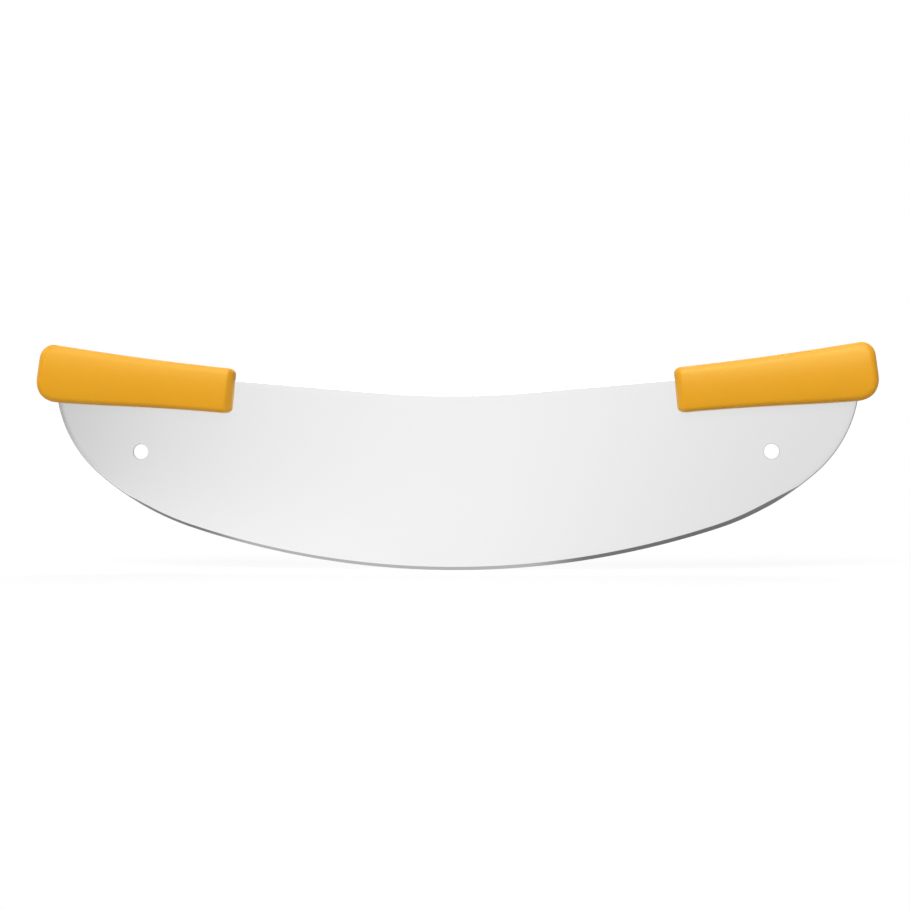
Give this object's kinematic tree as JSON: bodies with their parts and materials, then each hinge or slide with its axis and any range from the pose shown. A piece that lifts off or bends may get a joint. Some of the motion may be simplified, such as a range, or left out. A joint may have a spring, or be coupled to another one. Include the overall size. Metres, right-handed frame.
{
  "type": "rocking pizza knife",
  "caption": "Two-handled rocking pizza knife: a half-moon steel blade with a ground convex edge, hanging holes and a moulded grip on the tang at each end.",
  "frame": {"origin": "lowest point of the cutting edge, at mid-length and mid-thickness", "axes": "+X along the knife to the right-hand handle, +Y through the blade to its back face, +Z from the edge up to the spine"},
  "size_m": [0.5202, 0.02, 0.1398],
  "materials": {
    "blade_steel": "fine satin brushing, darker ground bevel along the edge",
    "handle_plastic": "warm yellow moulded polypropylene with a soft sheen"
  },
  "bodies": {
    "root": {"blade": "blade_steel", "left_handle": "handle_plastic", "right_handle": "handle_plastic"}
  },
  "joints": []
}
